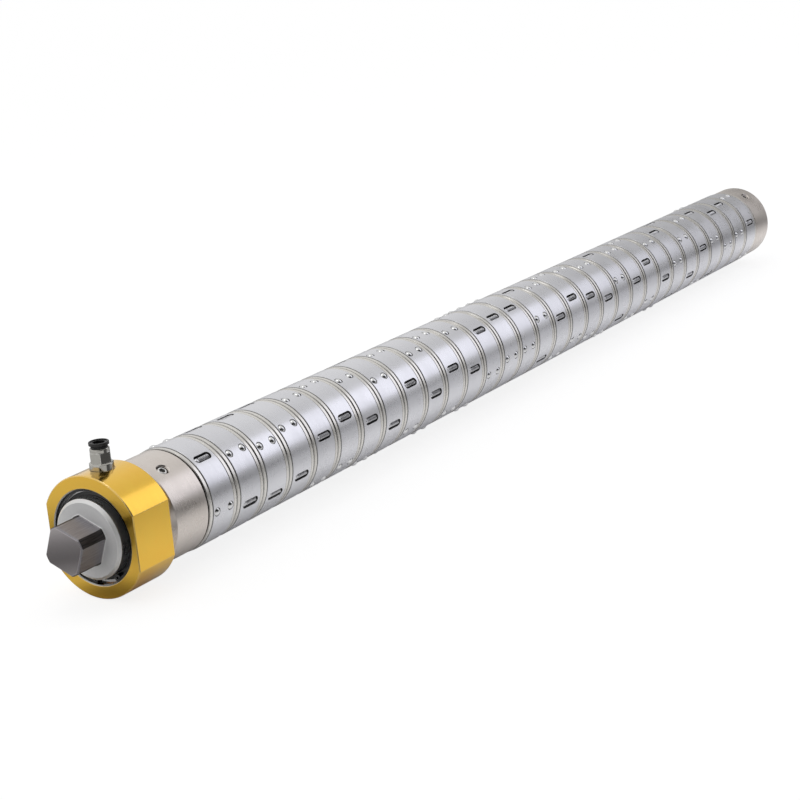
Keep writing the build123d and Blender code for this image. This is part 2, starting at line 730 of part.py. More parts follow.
# Slip ring, drag pins: a nose, a dome and a short neck that stands on the spring
pin_end_x = pin_dome_x + pin_neck_length
dome_arc = degrees(acos(pin_nose_radius / spring_radius))
slot_middles = [(0, *polar(spring_centre_radius, turn)) for turn in slot_turns]
slot_planes = [
    Plane(origin=middle, x_dir=(1, 0, 0), z_dir=(0, *polar(1, turn + 90)))
    for middle, turn in zip(slot_middles, slot_turns)
]
with BuildPart() as drag_pins:
    for middle, slot_plane in zip(slot_middles, slot_planes):
        with BuildSketch(slot_plane):
            with BuildLine():
                dome = CenterArc((pin_dome_x, 0), spring_radius, 90, dome_arc)
                Polyline(
                    dome @ 1,
                    (pin_nose_x, pin_nose_radius),
                    (pin_nose_x, 0),
                    (pin_end_x, 0),
                    (pin_end_x, spring_radius),
                    dome @ 0,
                )
            make_face()
        revolve(axis=Axis(middle, (1, 0, 0)))

# Slip ring, springs drawn simply: a ribbed tube for each, with a rib in place of each coil
rib_pitch = (spring_end - spring_start) / spring_rib_count
with BuildPart() as ribbed_springs:
    for middle, slot_plane in zip(slot_middles, slot_planes):
        with BuildSketch(slot_plane):
            with BuildLine():
                ribs = [(spring_start, spring_radius - spring_rib_height)]
                for rib in range(spring_rib_count):
                    ribs.append((spring_start + (rib + 0.5) * rib_pitch, spring_radius))
                    ribs.append((spring_start + (rib + 1) * rib_pitch, spring_radius - spring_rib_height))
                Polyline(
                    *ribs,
                    (spring_end, spring_radius - spring_wire_diameter),
                    (spring_start, spring_radius - spring_wire_diameter),
                    close=True,
                )
            make_face()
        revolve(axis=Axis(middle, (1, 0, 0)))

# Slip ring, springs drawn in full: a real coil on each pin of the first ring
with BuildPart() as drag_springs:
    add(drag_pins.part)
    for turn in slot_turns:
        start = (spring_start + spring_wire_diameter / 2, *polar(spring_centre_radius, turn))
        with BuildLine():
            coil = Helix(
                spring_pitch,
                spring_end - spring_start - spring_wire_diameter,
                spring_radius - spring_wire_diameter / 2,
                center=start,
                direction=(1, 0, 0),
            )
        with BuildSketch(Plane(origin=coil @ 0, z_dir=coil % 0)):
            Circle(spring_wire_diameter / 2)
        sweep(path=coil, is_frenet=True)


def ring_place(index):
    """Where a slip ring stands on the mandrel, and the turn that it has stopped at."""
    return Location((stack_start + (index + 0.5) * ring_pitch, 0, 0), (ring_turns[index], 0, 0))


# First slip ring, in separate pieces, because its lock works
first_ring_pieces = (
    ("hub", hub.part),
    ("rims", rims.part),
    ("sleeve", sleeve.part),
    ("drag_pins", drag_springs.part),
    ("balls_a", ball_pairs[0]),
    ("balls_b", ball_pairs[1]),
    ("balls_c", ball_pairs[2]),
)
for piece_name, piece in first_ring_pieces:
    with BuildPart() as placed_piece:
        with Locations(ring_place(0)):
            add(piece)
    write(placed_piece.part, f"slip_ring_01_{piece_name}")

# The other slip rings, each with its own pieces as separate solids, hub and rims in one
with BuildPart() as slip_ring:
    add(hub.part)
    add(rims.part)
    add(sleeve.part)
    add(drag_pins.part)
    add(ribbed_springs.part)
    for pair in ball_pairs:
        add(pair)
for index in range(1, len(ring_turns)):
    with BuildPart() as placed_ring:
        with Locations(ring_place(index)):
            add(slip_ring.part)
    write(placed_ring.part, f"slip_ring_{index + 1:02d}")
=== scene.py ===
import math

import bpy
import numpy as np
from mathutils import Matrix, Vector


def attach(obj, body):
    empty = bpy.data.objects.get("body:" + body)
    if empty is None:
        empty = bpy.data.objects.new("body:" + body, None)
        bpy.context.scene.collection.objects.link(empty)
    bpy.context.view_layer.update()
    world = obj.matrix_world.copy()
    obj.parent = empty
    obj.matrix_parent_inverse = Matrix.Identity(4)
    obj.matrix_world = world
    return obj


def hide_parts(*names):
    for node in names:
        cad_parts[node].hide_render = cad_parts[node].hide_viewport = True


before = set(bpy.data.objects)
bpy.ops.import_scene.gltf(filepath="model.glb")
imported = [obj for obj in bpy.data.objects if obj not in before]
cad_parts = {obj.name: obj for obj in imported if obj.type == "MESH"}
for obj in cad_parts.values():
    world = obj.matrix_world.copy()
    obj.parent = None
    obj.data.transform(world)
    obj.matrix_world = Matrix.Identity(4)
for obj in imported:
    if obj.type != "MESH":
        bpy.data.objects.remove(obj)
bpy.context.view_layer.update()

# All lengths are in metres. The shaft's axis is X, with the origin at the front journal's
# shoulder. A turn is an angle about X by the right-hand rule, counted from +Z.
MM = 0.001

# Camera: a long lens that looks along the shaft from its front and a little from above
CAMERA_PLACE = (-0.80738, -0.80653, 0.38831)
CAMERA_FORWARD = (0.79389, 0.54504, -0.26956)
CAMERA_UP = (0.27288, 0.07681, 0.95898)
CAMERA_LENS = 83.21
CAMERA_SENSOR = 36.0
CAMERA_REACH = 50.0

# Journals: both are alike, so places along them are measured from the shaft's middle
SHAFT_MIDDLE = 524.0 * MM
SQUARE_ROOT = 524.4 * MM
SQUARE_END = 545.9 * MM
SQUARE_ROUND_RADIUS = 16.7 * MM

# The chamfer in the air ring's mouth, and the walls of the slots
MOUTH_RADIUS = 33.15 * MM
SLOT_WALL_RADIUS = 37.2 * MM

# Slip rings: the first is a set of nodes of its own, and each of the others is one node
STACK_START = 79.0 * MM
RING_PITCH = 30.0 * MM
RING_TURNS = (
    39, 108, 115, 108, 76, 67, 84, 104, 66, 92, 72, 86, 44, 35, 34, 4,
    75, 58, 67, 81, 4, 77, 59, 94, 20, 111, 78, 14, 33, 24, 75,
)
RING_NODES = [f"slip_ring_{number:02d}" for number in range(2, len(RING_TURNS) + 1)]
RING_PARTS = (("hub", "hub_steel"), ("rims", "rim_nickel"), ("sleeve", "sleeve_steel"))
LOCK_COUNT = 3
LOCK_STEP = 360 / LOCK_COUNT
MERGE_STEP = 1e-7

# Balls of the ball locks
BALL_RADIUS = 3.5 * MM
BALL_CENTRE_RADIUS = 35.2 * MM
BALL_SPACING = 14.2 * MM
BALL_POINTS = 11
ROUND_SEGMENTS = 16

# Drag pins and coil springs, measured from the ring's middle
SPRING_CENTRE_RADIUS = 35.0 * MM
SPRING_RADIUS = 2.25 * MM
WIRE_RADIUS = 0.35 * MM
SPRING_START = -4.65 * MM
SPRING_END = 7.134 * MM
SPRING_COILS = 10
STEPS_PER_COIL = 14
WIRE_SIDES = 6
PIN_NOSE_RADIUS = 1.2 * MM
PIN_NOSE_X = -11.1 * MM
PIN_DOME_X = -5.9 * MM
PIN_END_X = -4.7 * MM
PIN_DOME_POINTS = 7

# Sockets of the Mix node for colours
MIX_FACTOR, MIX_FIRST, MIX_SECOND, MIX_RESULT = 0, 6, 7, 2

# Shared effects: each range is stretched to 0 to 1
NOISE_RANGE = (0.3, 0.7)
END_FACE_RANGE = (0.5, 0.98)
EDGE_RANGE = (0.995, 0.9)
OPEN_SKY_RANGE = (0.62, 0.22)
GRAIN_RANGE = (0.1, 0.6)
GLOSS_RANGE = (0.25, 0.75)
EDGE_SAMPLES = 4
GAP_SAMPLES = 8
AXIS_GUARD = 0.5 * MM
BAND_SCALE = (0.12, 0.12, 0.6)
SMALL_CLOUD_SCALE = 7.0
LARGE_CLOUD_SHARE = 0.7

# Turned metals: the shares of clouds in the tone and of turning marks in the gloss
CLOUD_SHARE = 0.55
MARK_SHARE = 0.5
# Share of the edge tone on metal edges: rubbing, and on the gold and the fitting a painted
# highlight.
METAL_EDGE_SHARE = 0.8
MARK_HEIGHT = 0.02 * MM
# The dark colour that the occlusion mask lays in gaps and corners: painted shade.
GAP_SHADE_COLOUR = (0.05, 0.045, 0.04, 1)
COAT_ROUGHNESS = 0.12

# Moulded pieces
MOULDED_CLOUD = 6.0 * MM
MOULDED_WEAR = 0.3 * MM
MOULDED_RUBBED_SHARE = 0.6
GRAIN_SHARE = 0.4
GRAIN_HEIGHT = 0.03 * MM

# Floor: to the camera it is one grey and a glow. Reflections see the tones below, painted light
# and shade laid on the floor, each over a range of distances from the axis, towards the camera, or
# along the shaft
FLOOR_Z = -42.5 * MM
FLOOR_HALF = 12.0
SEEN_FLOOR_TONE = 0.26
SEEN_FLOOR_GLOW = 0.84
FLOOR_TONE = 0.80
BESIDE_TONE, BESIDE_RANGE = 0.62, (0.08, 0.40)
TOWARDS_CAMERA = (-0.40, -0.83)
CAMERA_SIDE_TONE, CAMERA_SIDE_RANGE = 0.15, (0.04, 0.20)
BEHIND_TONE, BEHIND_RANGE = 0.30, (1.08, 1.35)
MOTTLE_TONE, MOTTLE_SCALE, MOTTLE_SHARE = 0.6, 30.0, 0.04
BEFORE_RANGE = (0.015, -0.01)
BEFORE_REACH = 0.25
BEFORE_STOPS = (
    (0.0, 0.08), (0.14, 0.10), (0.24, 0.90), (0.34, 0.62),
    (0.52, 0.20), (0.66, 0.34), (0.84, 0.85), (1.0, 0.95),
)

# Painted light on the floor in reflections: a narrow glowing strip that grows along the shaft and
# a wide one at its front, both fading out under the axis and before the shaft's start
NARROW_GLOW_RANGE = (0.12, 0.045)
NARROW_GLOW_ALONG = (0.06, 0.26, 0.03, 0.36)
WIDE_GLOW_RANGE = (0.26, 0.12)
WIDE_GLOW_ALONG = (0.26, 0.10, 0.0, 0.20)
GLOW_GAP_RANGE = (0.0, 0.05)
GLOW_START_RANGE = (0.01, 0.05)

# Soft boxes: name, place, target, size, brightness, colour
SOFT_BOXES = (
    ("key_soft_box", (1.50, -0.68, 0.58), (1.50, 0, 0), (1.60, 0.84), 0.51, (0.94, 0.95, 1.10)),
    ("top_soft_box", (0.15, 0.10, 1.20), (0.15, 0.10, 0), (0.45, 0.40), 1.9, (1.0, 1.0, 1.0)),
)

# Studio surroundings in reflections: the sky's tone by its height, and what is laid over it by
# direction
SKY_STOPS = (
    (0.0, 0.66), (0.10, 0.70), (0.20, 0.76), (0.36, 0.80), (0.48, 0.76), (0.60, 0.68), (1.0, 0.74),
)
LEFT_TONE, LEFT_RANGE = 0.78, (-0.1, 0.3)
FAR_TONE, FAR_RANGE = 0.21, (0.80, 0.94)
DARK_SIDE = (-0.225, -0.974, 0.0)
DARK_TONE, DARK_WIDTH, DARK_HEIGHT = 0.03, (0.42, 0.60), (0.93, 0.66)


# Camera

def add_camera():
    """The camera, square to its viewing direction, with no shift and no depth of field."""
    camera = bpy.data.objects.new("camera", bpy.data.cameras.new("camera"))
    bpy.context.scene.collection.objects.link(camera)
    forward = Vector(CAMERA_FORWARD).normalized()
    right = forward.cross(Vector(CAMERA_UP)).normalized()
    up = right.cross(forward)
    camera.matrix_world = Matrix.LocRotScale(
        Vector(CAMERA_PLACE), Matrix((right, up, -forward)).transposed().to_quaternion(), None
    )
    camera.data.lens = CAMERA_LENS
    camera.data.sensor_width = CAMERA_SENSOR
    camera.data.clip_end = CAMERA_REACH
    bpy.context.scene.camera = camera


add_camera()
bpy.context.scene.view_settings.view_transform = "Standard"


# Node trees

class Nodes:
    """Short ways to add nodes to one tree and to join them."""

    def __init__(self, tree):
        self.tree = tree

    def put(self, socket, value):
        """Joins an output to a socket, or sets the socket to a plain value."""
        if isinstance(value, bpy.types.NodeSocket):
            self.tree.links.new(value, socket)
        else:
            socket.default_value = value

    def add(self, kind, inputs=None, **settings):
        """A new node with its settings and inputs."""
        node = self.tree.nodes.new(kind)
        for name, value in settings.items():
            setattr(node, name, value)
        for name, value in (inputs or {}).items():
            self.put(node.inputs[name], value)
        return node

    def place(self):
        """A point's place on its piece, in Object coordinates."""
        return self.add("ShaderNodeTexCoord").outputs["Object"]

    def split(self, vector):
        """The X, Y and Z of a vector."""
        return self.add("ShaderNodeSeparateXYZ", {"Vector": vector}).outputs

    def math(self, operation, first, second=0.0, clamp=False):
        """The result of a Math node."""
        node = self.add("ShaderNodeMath", operation=operation, use_clamp=clamp)
        self.put(node.inputs[0], first)
        self.put(node.inputs[1], second)
        return node.outputs[0]

    def weighed(self, first, share, second):
        """Two values added, the first one by its share and the second by the rest."""
        return self.math(
            "ADD", self.math("MULTIPLY", first, share), self.math("MULTIPLY", second, 1.0 - share)
        )

    def from_axis(self, y, z):
        """The distance from the shaft's axis: the root of y squared plus z squared."""
        return self.math(
            "SQRT", self.math("ADD", self.math("MULTIPLY", y, y), self.math("MULTIPLY", z, z))
        )

    def dot(self, vector, direction):
        """The dot product of a vector and a direction."""
        node = self.add("ShaderNodeVectorMath", operation="DOT_PRODUCT")
        self.put(node.inputs[0], vector)
        self.put(node.inputs[1], direction)
        return node.outputs["Value"]

    def between(self, value, low, high, to_low=0.0, to_high=1.0, smooth=False):
        """A value carried from one range to another, and held at its ends."""
        return self.add(
            "ShaderNodeMapRange",
            {
                "Value": value, "From Min": low, "From Max": high,
                "To Min": to_low, "To Max": to_high,
            },
            interpolation_type="SMOOTHSTEP" if smooth else "LINEAR",
        ).outputs[0]

    def blend(self, factor, first, second):
        """Two colours mixed by a factor."""
        node = self.add("ShaderNodeMix", data_type="RGBA")
        self.put(node.inputs[MIX_FACTOR], factor)
        self.put(node.inputs[MIX_FIRST], first)
        self.put(node.inputs[MIX_SECOND], second)
        return node.outputs[MIX_RESULT]

    def ramp(self, value, high, stops):
        """A grey that follows (place, grey) stops, with the value 0 to high as places 0 to 1."""
        node = self.add("ShaderNodeValToRGB", {"Fac": self.between(value, 0.0, high)})
        elements = node.color_ramp.elements
        while len(elements) < len(stops):
            elements.new(0.5)
        for element, (place, tone) in zip(elements, stops):
            element.position = place
            element.color = grey(tone)
        return node.outputs[0]

    def noise(self, vector, scale, detail=2.0, w=None):
        """A noise value between 0 and 1."""
        node = self.add(
            "ShaderNodeTexNoise",
            {"Vector": vector, "Scale": scale, "Detail": detail},
            noise_dimensions="4D" if w is not None else "3D",
        )
        if w is not None:
            self.put(node.inputs["W"], w)
        return node.outputs[0]

    def group(self, group, inputs=None):
        """A placed shader node group."""
        node = self.tree.nodes.new("ShaderNodeGroup")
        node.node_tree = group
        for name, value in (inputs or {}).items():
            self.put(node.inputs[name], value)
        return node


def grey(value):
    """A grey colour with full alpha."""
    return (value, value, value, 1.0)


# Shared effects

def new_group(name, inputs, values, vectors=()):
    """An empty shader node group: inputs are (name, value) pairs, and its outputs are given by
    the names of values and of vectors."""
    tree = bpy.data.node_groups.new(name, "ShaderNodeTree")
    for socket_name, value in inputs:
        socket = tree.interface.new_socket(
            socket_name, in_out="INPUT", socket_type="NodeSocketFloat"
        )
        socket.default_value = value
    for kind, names in (("NodeSocketFloat", values), ("NodeSocketVector", vectors)):
        for socket_name in names:
            tree.interface.new_socket(socket_name, in_out="OUTPUT", socket_type=kind)
    nodes = Nodes(tree)
    return tree, nodes, nodes.add("NodeGroupInput"), nodes.add("NodeGroupOutput")


def make_axis_place():
    """The place of a point along the shaft's axis, and its distance from the axis."""
    tree, nodes, _, out = new_group("axis_place", [], ["Along", "Radius"])
    x, y, z = nodes.split(nodes.place())
    nodes.put(out.inputs["Along"], x)
    nodes.put(out.inputs["Radius"], nodes.from_axis(y, z))
    return tree


def make_end_faces():
    """A mask of the faces that look along the shaft, and weaker of the chamfers beside them."""
    tree, nodes, _, out = new_group("end_faces", [], ["Mask"])
    x, _, _ = nodes.split(nodes.add("ShaderNodeNewGeometry").outputs["True Normal"])
    nodes.put(out.inputs["Mask"], nodes.between(nodes.math("ABSOLUTE", x), *END_FACE_RANGE))
    return tree


def make_streaks():
    """Brush marks along the shaft: noise that is long in X and narrow across it."""
    tree, nodes, given, out = new_group(
        "streaks", [("Width", 0.6 * MM), ("Length", 12.0 * MM)], ["Value"]
    )
    x, y, z = nodes.split(nodes.place())
    width, length = given.outputs["Width"], given.outputs["Length"]
    stretched = nodes.add("ShaderNodeCombineXYZ", {
        "X": nodes.math("DIVIDE", x, length),
        "Y": nodes.math("DIVIDE", y, width),
        "Z": nodes.math("DIVIDE", z, width),
    })
    marks = nodes.noise(stretched.outputs[0], 1.0, detail=3.0)
    nodes.put(out.inputs["Value"], nodes.between(marks, *NOISE_RANGE))
    return tree


def make_turned_marks():
    """Fine grooves left by turning: noise that is narrow along the axis and the radius and long
    round the axis. The turn enters as a point on a circle, so the pattern has no seam."""
    tree, nodes, given, out = new_group(
        "turned_marks", [("Spacing", 0.3 * MM), ("Run", 1.5)], ["Marks", "Bands"]
    )
    x, y, z = nodes.split(nodes.place())
    radius = nodes.from_axis(y, z)
    safe = nodes.math("MAXIMUM", radius, AXIS_GUARD)
    run, spacing = given.outputs["Run"], given.outputs["Spacing"]
    across = nodes.math("MULTIPLY", nodes.math("DIVIDE", z, safe), run)
    along = nodes.math("MULTIPLY", nodes.math("DIVIDE", y, safe), run)
    fine = nodes.add("ShaderNodeCombineXYZ", {
        "X": nodes.math("DIVIDE", x, spacing),
        "Y": nodes.math("DIVIDE", radius, spacing),
        "Z": across,
    })
    marks = nodes.noise(fine.outputs[0], 1.0, detail=3.0, w=along)
    broad = nodes.add("ShaderNodeVectorMath", operation="MULTIPLY")
    nodes.put(broad.inputs[0], fine.outputs[0])
    nodes.put(broad.inputs[1], BAND_SCALE)
    bands = nodes.noise(broad.outputs[0], 1.0, w=along)
    nodes.put(out.inputs["Marks"], marks)
    nodes.put(out.inputs["Bands"], bands)
    return tree


def make_clouds():
    """Soft uneven tone: two sizes of noise added together."""
    tree, nodes, given, out = new_group("clouds", [("Size", 20.0 * MM)], ["Value"])
    place = nodes.place()
    scale = nodes.math("DIVIDE", 1.0, given.outputs["Size"])
    large = nodes.noise(place, scale, detail=3.0)
    small = nodes.noise(place, nodes.math("MULTIPLY", scale, SMALL_CLOUD_SCALE))
    total = nodes.weighed(large, LARGE_CLOUD_SHARE, small)
    nodes.put(out.inputs["Value"], nodes.between(total, *NOISE_RANGE))
    return tree


def make_rounded_edges():
    """Rounded edges: the mask grows where the rounded normal leaves the surface's own. Materials
    lay a lighter edge tone on it, from rubbing, and on the gold and the nickel fitting a painted
    highlight.
    """
    tree, nodes, given, out = new_group(
        "rounded_edges", [("Radius", 0.3 * MM)], ["Mask"], ["Normal"]
    )
    bevel = nodes.add(
        "ShaderNodeBevel", {"Radius": given.outputs["Radius"]}, samples=EDGE_SAMPLES
    )
    rounded = bevel.outputs[0]
    own = nodes.add("ShaderNodeNewGeometry").outputs["Normal"]
    nodes.put(out.inputs["Mask"], nodes.between(nodes.dot(rounded, own), *EDGE_RANGE))
    nodes.put(out.inputs["Normal"], rounded)
    return tree


def make_gap_shade():
    """Painted shade: dark in narrow gaps and corners, where ambient occlusion finds little open
    sky.
    """
    tree, nodes, given, out = new_group("gap_shade", [("Reach", 1.5 * MM)], ["Mask"])
    open_sky = nodes.add(
        "ShaderNodeAmbientOcclusion", {"Distance": given.outputs["Reach"]}, samples=GAP_SAMPLES
    )
    nodes.put(out.inputs["Mask"], nodes.between(open_sky.outputs["AO"], *OPEN_SKY_RANGE))
    return tree


def make_ring_tone():
    """One value for each slip ring, by its place along the shaft, so no two look the same."""
    tree, nodes, _, out = new_group("ring_tone", [], ["Value"])
    x, _, _ = nodes.split(nodes.place())
    from_start = nodes.math("SUBTRACT", x, STACK_START)
    number = nodes.math("FLOOR", nodes.math("DIVIDE", from_start, RING_PITCH))
    tone = nodes.add("ShaderNodeTexWhiteNoise", {"W": number}, noise_dimensions="1D")
    nodes.put(out.inputs["Value"], tone.outputs["Value"])
    return tree


def make_speckle():
    """Small grains: the distance to scattered cell centres."""
    tree, nodes, given, out = new_group("speckle", [("Size", 1.0 * MM)], ["Grains"])
    cells = nodes.add("ShaderNodeTexVoronoi", {
        "Vector": nodes.place(), "Scale": nodes.math("DIVIDE", 1.0, given.outputs["Size"]),
    })
    nodes.put(out.inputs["Grains"], nodes.between(cells.outputs["Distance"], *GRAIN_RANGE))
    return tree


AXIS_PLACE = make_axis_place()
END_FACES = make_end_faces()
STREAKS = make_streaks()
TURNED_MARKS = make_turned_marks()
CLOUDS = make_clouds()
ROUNDED_EDGES = make_rounded_edges()
GAP_SHADE = make_gap_shade()
RING_TONE = make_ring_tone()
SPECKLE = make_speckle()


# Materials

def new_material(name, metallic):
    """A material with its Principled BSDF, its metallic value set on the socket itself."""
    material = bpy.data.materials.new(name)
    material.use_nodes = True
    nodes = Nodes(material.node_tree)
    shader = material.node_tree.nodes["Principled BSDF"]
    shader.inputs["Metallic"].default_value = metallic
    return material, nodes, shader


def turned_metal(
    name, colour, shade, rough, spacing=0.0003, depth=0.35, cloud=0.02, edge_tone=None, edge_radius=0.0003,
    gap_shade_share=0.5, reach=0.0015, per_ring=0.0, run=1.5, coat=0.0,
):
    """Machined metal: tone and gloss follow the turning marks and soft clouds. Edges take a
    lighter edge tone, from rubbing and, on the gold and the nickel fitting, a painted highlight;
    gaps and corners take painted shade. rough is the roughness of its smoothest and its dullest
    places, per_ring the most that one slip ring's tone drifts, and run the noise's length round
    the axis."""
    material, nodes, shader = new_material(name, 1.0)
    marks = nodes.group(TURNED_MARKS, {"Spacing": spacing, "Run": run})
    clouds = nodes.group(CLOUDS, {"Size": cloud})
    edge = nodes.group(ROUNDED_EDGES, {"Radius": edge_radius})
    gap = nodes.group(GAP_SHADE, {"Reach": reach})
    tone = nodes.weighed(clouds.outputs["Value"], CLOUD_SHARE, marks.outputs["Bands"])
    if per_ring:
        ring = nodes.group(RING_TONE)
        drift = nodes.between(ring.outputs["Value"], 0.0, 1.0, -per_ring, per_ring)
        tone = nodes.math("ADD", tone, drift, clamp=True)
    base = nodes.blend(tone, shade, colour)
    edge_share = nodes.math("MULTIPLY", edge.outputs["Mask"], METAL_EDGE_SHARE)
    base = nodes.blend(edge_share, base, edge_tone or colour)
    # Painted shade in gaps and corners, laid by the occlusion mask.
    gap_shaded = nodes.blend(nodes.math("MULTIPLY", gap.outputs["Mask"], gap_shade_share), base, GAP_SHADE_COLOUR)
    nodes.put(shader.inputs["Base Color"], gap_shaded)
    dullness = nodes.weighed(marks.outputs["Marks"], MARK_SHARE, clouds.outputs["Value"])
    nodes.put(shader.inputs["Roughness"], nodes.between(dullness, *GLOSS_RANGE, *rough))
    bump = nodes.add("ShaderNodeBump", {
        "Strength": depth, "Distance": MARK_HEIGHT, "Height": marks.outputs["Marks"],
        "Normal": edge.outputs["Normal"],
    })
    nodes.put(shader.inputs["Normal"], bump.outputs[0])
    if coat:
        shader.inputs["Coat Weight"].default_value = coat
        shader.inputs["Coat Roughness"].default_value = COAT_ROUGHNESS
    return material


def moulded(name, colour, shade, rough, edge_tone, grain=0.0008, depth=0.3):
    """Rubber, plastic or lining: grains in the surface, uneven tone, edges paler from rubbing."""
    material, nodes, shader = new_material(name, 0.0)
    grains = nodes.group(SPECKLE, {"Size": grain})
    clouds = nodes.group(CLOUDS, {"Size": MOULDED_CLOUD})
    edge = nodes.group(ROUNDED_EDGES, {"Radius": MOULDED_WEAR})
    base = nodes.blend(clouds.outputs["Value"], shade, colour)
    base = nodes.blend(nodes.math("MULTIPLY", grains.outputs["Grains"], GRAIN_SHARE), base, colour)
    edge_share = nodes.math("MULTIPLY", edge.outputs["Mask"], MOULDED_RUBBED_SHARE)
    nodes.put(shader.inputs["Base Color"], nodes.blend(edge_share, base, edge_tone))
    dullness = nodes.between(clouds.outputs["Value"], 0.0, 1.0, *rough)
    nodes.put(shader.inputs["Roughness"], dullness)
    bump = nodes.add("ShaderNodeBump", {
        "Strength": depth, "Distance": GRAIN_HEIGHT, "Height": grains.outputs["Grains"],
        "Normal": edge.outputs["Normal"],
    })
    nodes.put(shader.inputs["Normal"], bump.outputs[0])
    return material


def lay_over(material, make_mask, colour):
    """Lays a colour over a material's own, where make_mask(nodes) gives 1. A colour can also be a
    pair of colours, mixed by brush streaks."""
    nodes = Nodes(material.node_tree)
    socket = material.node_tree.nodes["Principled BSDF"].inputs["Base Color"]
    own = socket.links[0].from_socket
    if isinstance(colour, list):
        colour = nodes.blend(nodes.group(STREAKS).outputs["Value"], *colour)
    nodes.put(socket, nodes.blend(make_mask(nodes), own, colour))


def roughen(material, make_mask, value):
    """Takes a material to another roughness, where make_mask(nodes) gives 1."""
    nodes = Nodes(material.node_tree)
    socket = material.node_tree.nodes["Principled BSDF"].inputs["Roughness"]
    own = socket.links[0].from_socket
    mask = make_mask(nodes)
    outside = nodes.math("SUBTRACT", 1.0, mask)
    nodes.put(socket, nodes.math(
        "ADD", nodes.math("MULTIPLY", own, outside), nodes.math("MULTIPLY", mask, value)
    ))


def beyond(nodes, distance):
    """Everything farther along the shaft than a distance from its middle, towards either end."""
    along = nodes.group(AXIS_PLACE).outputs["Along"]
    from_middle = nodes.math("ABSOLUTE", nodes.math("SUBTRACT", along, SHAFT_MIDDLE))
    return nodes.math("GREATER_THAN", from_middle, distance)


def within(nodes, radius):
    """Everything nearer to the shaft's axis than a radius."""
    return nodes.math("LESS_THAN", nodes.group(AXIS_PLACE).outputs["Radius"], radius)


def on_end_faces(nodes):
    """The faces that look along the shaft, and less of their chamfers."""
    return nodes.group(END_FACES).outputs["Mask"]


def on_squares(nodes):
    """The journals' squares, beyond the flanges."""
    return beyond(nodes, SQUARE_ROOT)


def on_round_corners(nodes):
    """The four round corners of each square."""
    outside = nodes.math("SUBTRACT", 1.0, within(nodes, SQUARE_ROUND_RADIUS))
    return nodes.math("MULTIPLY", on_squares(nodes), outside)


def on_square_ends(nodes):
    """The squares' end faces."""
    return beyond(nodes, SQUARE_END)


def on_flange_faces(nodes):
    """The flanges' faces, behind the squares."""
    behind = nodes.math("SUBTRACT", 1.0, on_squares(nodes))
    return nodes.math("MULTIPLY", on_end_faces(nodes), behind)


def in_mouth(nodes):
    """The bore and the mouth of the air ring, machined after it was anodised."""
    return within(nodes, MOUTH_RADIUS)


def in_slots(nodes):
    """The walls of a sleeve's slots and ball windows, below its surface."""
    return within(nodes, SLOT_WALL_RADIUS)


